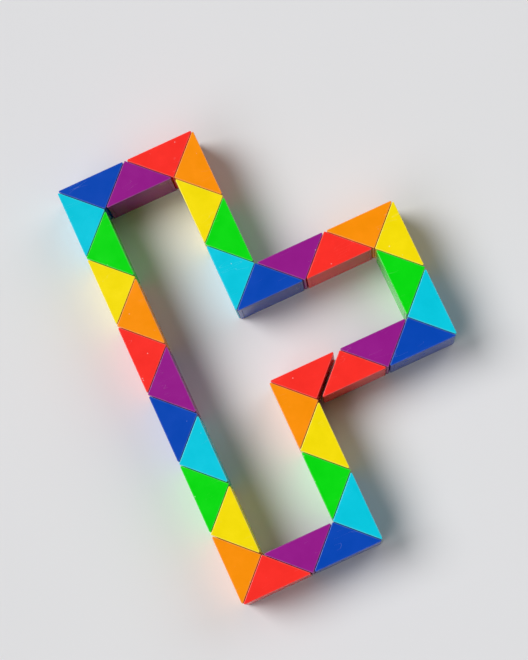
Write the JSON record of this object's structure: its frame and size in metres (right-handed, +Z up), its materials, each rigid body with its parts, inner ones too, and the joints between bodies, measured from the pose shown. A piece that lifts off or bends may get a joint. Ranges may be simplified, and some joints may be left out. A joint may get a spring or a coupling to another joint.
{
  "type": "twisty snake puzzle",
  "caption": "Chain of hollow triangular plastic wedges that swivel on each other, folded flat into a closed T-shaped loop in rainbow colours.",
  "frame": {"origin": "under the middle of the loop, on the surface it lies on", "axes": "+Y along the long bar of the T, +X from the long bar towards the end of the side arm, +Z up"},
  "size_m": [0.0958, 0.144, 0.0167],
  "materials": {
    "red": "satin moulded ABS, crisp edges",
    "orange": "satin moulded ABS, crisp edges",
    "yellow": "satin moulded ABS, crisp edges",
    "green": "satin moulded ABS, crisp edges",
    "light_blue": "satin moulded ABS, crisp edges",
    "dark_blue": "satin moulded ABS, crisp edges",
    "purple": "satin moulded ABS, crisp edges",
    "steel": "zinc-plated fastener steel"
  },
  "bodies": {
    "segment_01": {"wedge_01": "red", "pivot_spring_01": "steel"},
    "segment_02": {"wedge_02": "orange", "pivot_washer_01": "steel", "pivot_screw_01": "steel"},
    "segment_03": {"wedge_03": "yellow"},
    "segment_04": {"wedge_04": "green"},
    "segment_05": {"wedge_05": "light_blue", "pivot_spring_05": "steel"},
    "segment_06": {"wedge_06": "dark_blue", "pivot_washer_05": "steel", "pivot_screw_05": "steel"},
    "segment_07": {"wedge_07": "purple"},
    "segment_08": {"wedge_08": "red", "pivot_spring_08": "steel"},
    "segment_09": {"wedge_09": "orange", "pivot_washer_08": "steel", "pivot_screw_08": "steel"},
    "segment_10": {"wedge_10": "yellow"},
    "segment_11": {"wedge_11": "green"},
    "segment_12": {"wedge_12": "light_blue"},
    "segment_13": {"wedge_13": "dark_blue"},
    "segment_14": {"wedge_14": "purple"},
    "segment_15": {"wedge_15": "red"},
    "segment_16": {"wedge_16": "orange"},
    "segment_17": {"wedge_17": "yellow"},
    "segment_18": {"wedge_18": "green"},
    "segment_19": {"wedge_19": "light_blue", "pivot_spring_19": "steel"},
    "segment_20": {"wedge_20": "dark_blue", "pivot_washer_19": "steel", "pivot_screw_19": "steel"},
    "segment_21": {"wedge_21": "purple"},
    "segment_22": {"wedge_22": "red", "pivot_spring_22": "steel"},
    "segment_23": {"wedge_23": "orange", "pivot_washer_22": "steel", "pivot_screw_22": "steel"},
    "segment_24": {"wedge_24": "yellow"},
    "segment_25": {"wedge_25": "green"},
    "segment_26": {"wedge_26": "light_blue", "pivot_spring_26": "steel"},
    "segment_27": {"wedge_27": "dark_blue", "pivot_washer_26": "steel", "pivot_screw_26": "steel"},
    "segment_28": {"wedge_28": "purple"},
    "segment_29": {"wedge_29": "red"},
    "segment_30": {"wedge_30": "orange", "pivot_spring_30": "steel"},
    "segment_31": {"wedge_31": "yellow", "pivot_washer_30": "steel", "pivot_screw_30": "steel"},
    "segment_32": {"wedge_32": "green"},
    "segment_33": {"wedge_33": "light_blue", "pivot_spring_33": "steel"},
    "segment_34": {"wedge_34": "dark_blue", "pivot_washer_33": "steel", "pivot_screw_33": "steel"},
    "segment_35": {"wedge_35": "purple"},
    "segment_36": {"wedge_36": "red"}
  },
  "joints": [
    {"name": "swivel_01", "type": "hinge", "parent": "segment_02", "child": "segment_01", "pos_m": [-0.00601, -0.01803, 0.00835], "axis": [0.7071, 0.7071, 0], "range_deg": [-9, 9]},
    {"name": "swivel_02", "type": "hinge", "parent": "segment_03", "child": "segment_02", "pos_m": [-0.00601, -0.03005, 0.00835], "axis": [-0.7071, 0.7071, 0], "continuous": true},
    {"name": "swivel_03", "type": "hinge", "parent": "segment_04", "child": "segment_03", "pos_m": [-0.00601, -0.04207, 0.00835], "axis": [0.7071, 0.7071, 0], "range_deg": [-9, 9]},
    {"name": "swivel_04", "type": "hinge", "parent": "segment_05", "child": "segment_04", "pos_m": [-0.00601, -0.05409, 0.00835], "axis": [-0.7071, 0.7071, 0], "range_deg": [-11, 11]},
    {"name": "swivel_05", "type": "hinge", "parent": "segment_06", "child": "segment_05", "pos_m": [-0.00601, -0.06611, 0.00835], "axis": [0.7071, 0.7071, 0], "continuous": true},
    {"name": "swivel_06", "type": "hinge", "parent": "segment_07", "child": "segment_06", "pos_m": [-0.01803, -0.06611, 0.00835], "axis": [0.7071, -0.7071, 0], "range_deg": [-11, 11]},
    {"name": "swivel_07", "type": "hinge", "parent": "segment_08", "child": "segment_07", "pos_m": [-0.03005, -0.06611, 0.00835], "axis": [0.7071, 0.7071, 0], "range_deg": [-9, 9]},
    {"name": "swivel_08", "type": "hinge", "parent": "segment_09", "child": "segment_08", "pos_m": [-0.04207, -0.06611, 0.00835], "axis": [0.7071, -0.7071, 0], "continuous": true},
    {"name": "swivel_09", "type": "hinge", "parent": "segment_10", "child": "segment_09", "pos_m": [-0.04207, -0.05409, 0.00835], "axis": [-0.7071, -0.7071, 0], "range_deg": [-9, 9]},
    {"name": "swivel_10", "type": "hinge", "parent": "segment_11", "child": "segment_10", "pos_m": [-0.04207, -0.04207, 0.00835], "axis": [0.7071, -0.7071, 0], "continuous": true},
    {"name": "swivel_11", "type": "hinge", "parent": "segment_12", "child": "segment_11", "pos_m": [-0.04207, -0.03005, 0.00835], "axis": [-0.7071, -0.7071, 0], "range_deg": [-100, 100]},
    {"name": "swivel_12", "type": "hinge", "parent": "segment_13", "child": "segment_12", "pos_m": [-0.04207, -0.01803, 0.00835], "axis": [0.7071, -0.7071, 0], "range_deg": [-110, 110]},
    {"name": "swivel_13", "type": "hinge", "parent": "segment_14", "child": "segment_13", "pos_m": [-0.04207, -0.00601, 0.00835], "axis": [-0.7071, -0.7071, 0], "range_deg": [-90, 90]},
    {"name": "swivel_14", "type": "hinge", "parent": "segment_15", "child": "segment_14", "pos_m": [-0.04207, 0.00601, 0.00835], "axis": [0.7071, -0.7071, 0], "range_deg": [-19, 19]},
    {"name": "swivel_15", "type": "hinge", "parent": "segment_16", "child": "segment_15", "pos_m": [-0.04207, 0.01803, 0.00835], "axis": [-0.7071, -0.7071, 0], "continuous": true},
    {"name": "swivel_16", "type": "hinge", "parent": "segment_17", "child": "segment_16", "pos_m": [-0.04207, 0.03005, 0.00835], "axis": [0.7071, -0.7071, 0], "range_deg": [-19, 19]},
    {"name": "swivel_17", "type": "hinge", "parent": "segment_18", "child": "segment_17", "pos_m": [-0.04207, 0.04207, 0.00835], "axis": [-0.7071, -0.7071, 0], "continuous": true},
    {"name": "swivel_18", "type": "hinge", "parent": "segment_18", "child": "segment_19", "pos_m": [-0.04207, 0.05409, 0.00835], "axis": [-0.7071, 0.7071, 0], "range_deg": [-11, 11]},
    {"name": "swivel_19", "type": "hinge", "parent": "segment_19", "child": "segment_20", "pos_m": [-0.04207, 0.06611, 0.00835], "axis": [0.7071, 0.7071, 0], "continuous": true},
    {"name": "swivel_20", "type": "hinge", "parent": "segment_20", "child": "segment_21", "pos_m": [-0.03005, 0.06611, 0.00835], "axis": [0.7071, -0.7071, 0], "range_deg": [-11, 11]},
    {"name": "swivel_21", "type": "hinge", "parent": "segment_21", "child": "segment_22", "pos_m": [-0.01803, 0.06611, 0.00835], "axis": [0.7071, 0.7071, 0], "range_deg": [-11, 11]},
    {"name": "swivel_22", "type": "hinge", "parent": "segment_22", "child": "segment_23", "pos_m": [-0.00601, 0.06611, 0.00835], "axis": [0.7071, -0.7071, 0], "continuous": true},
    {"name": "swivel_23", "type": "hinge", "parent": "segment_23", "child": "segment_24", "pos_m": [-0.00601, 0.05409, 0.00835], "axis": [-0.7071, -0.7071, 0], "range_deg": [-11, 11]},
    {"name": "swivel_24", "type": "hinge", "parent": "segment_24", "child": "segment_25", "pos_m": [-0.00601, 0.04207, 0.00835], "axis": [0.7071, -0.7071, 0], "continuous": true},
    {"name": "swivel_25", "type": "hinge", "parent": "segment_25", "child": "segment_26", "pos_m": [-0.00601, 0.03005, 0.00835], "axis": [-0.7071, -0.7071, 0], "range_deg": [-11, 11]},
    {"name": "swivel_26", "type": "hinge", "parent": "segment_26", "child": "segment_27", "pos_m": [-0.00601, 0.01803, 0.00835], "axis": [0.7071, -0.7071, 0], "range_deg": [-125, 125]},
    {"name": "swivel_27", "type": "hinge", "parent": "segment_27", "child": "segment_28", "pos_m": [0.00601, 0.01803, 0.00835], "axis": [0.7071, 0.7071, 0], "range_deg": [-11, 11]},
    {"name": "swivel_28", "type": "hinge", "parent": "segment_28", "child": "segment_29", "pos_m": [0.01803, 0.01803, 0.00835], "axis": [0.7071, -0.7071, 0], "continuous": true},
    {"name": "swivel_29", "type": "hinge", "parent": "segment_29", "child": "segment_30", "pos_m": [0.03005, 0.01803, 0.00835], "axis": [0.7071, 0.7071, 0], "range_deg": [-9, 9]},
    {"name": "swivel_30", "type": "hinge", "parent": "segment_30", "child": "segment_31", "pos_m": [0.04207, 0.01803, 0.00835], "axis": [0.7071, -0.7071, 0], "continuous": true},
    {"name": "swivel_31", "type": "hinge", "parent": "segment_31", "child": "segment_32", "pos_m": [0.04207, 0.00601, 0.00835], "axis": [-0.7071, -0.7071, 0], "range_deg": [-9, 9]},
    {"name": "swivel_32", "type": "hinge", "parent": "segment_32", "child": "segment_33", "pos_m": [0.04207, -0.00601, 0.00835], "axis": [0.7071, -0.7071, 0], "range_deg": [-11, 11]},
    {"name": "swivel_33", "type": "hinge", "parent": "segment_33", "child": "segment_34", "pos_m": [0.04207, -0.01803, 0.00835], "axis": [-0.7071, -0.7071, 0], "continuous": true},
    {"name": "swivel_34", "type": "hinge", "parent": "segment_34", "child": "segment_35", "pos_m": [0.03005, -0.01803, 0.00835], "axis": [-0.7071, 0.7071, 0], "range_deg": [-11, 11]},
    {"name": "swivel_35", "type": "hinge", "parent": "segment_35", "child": "segment_36", "pos_m": [0.01803, -0.01803, 0.00835], "axis": [-0.7071, -0.7071, 0], "range_deg": [-9, 9]}
  ]
}
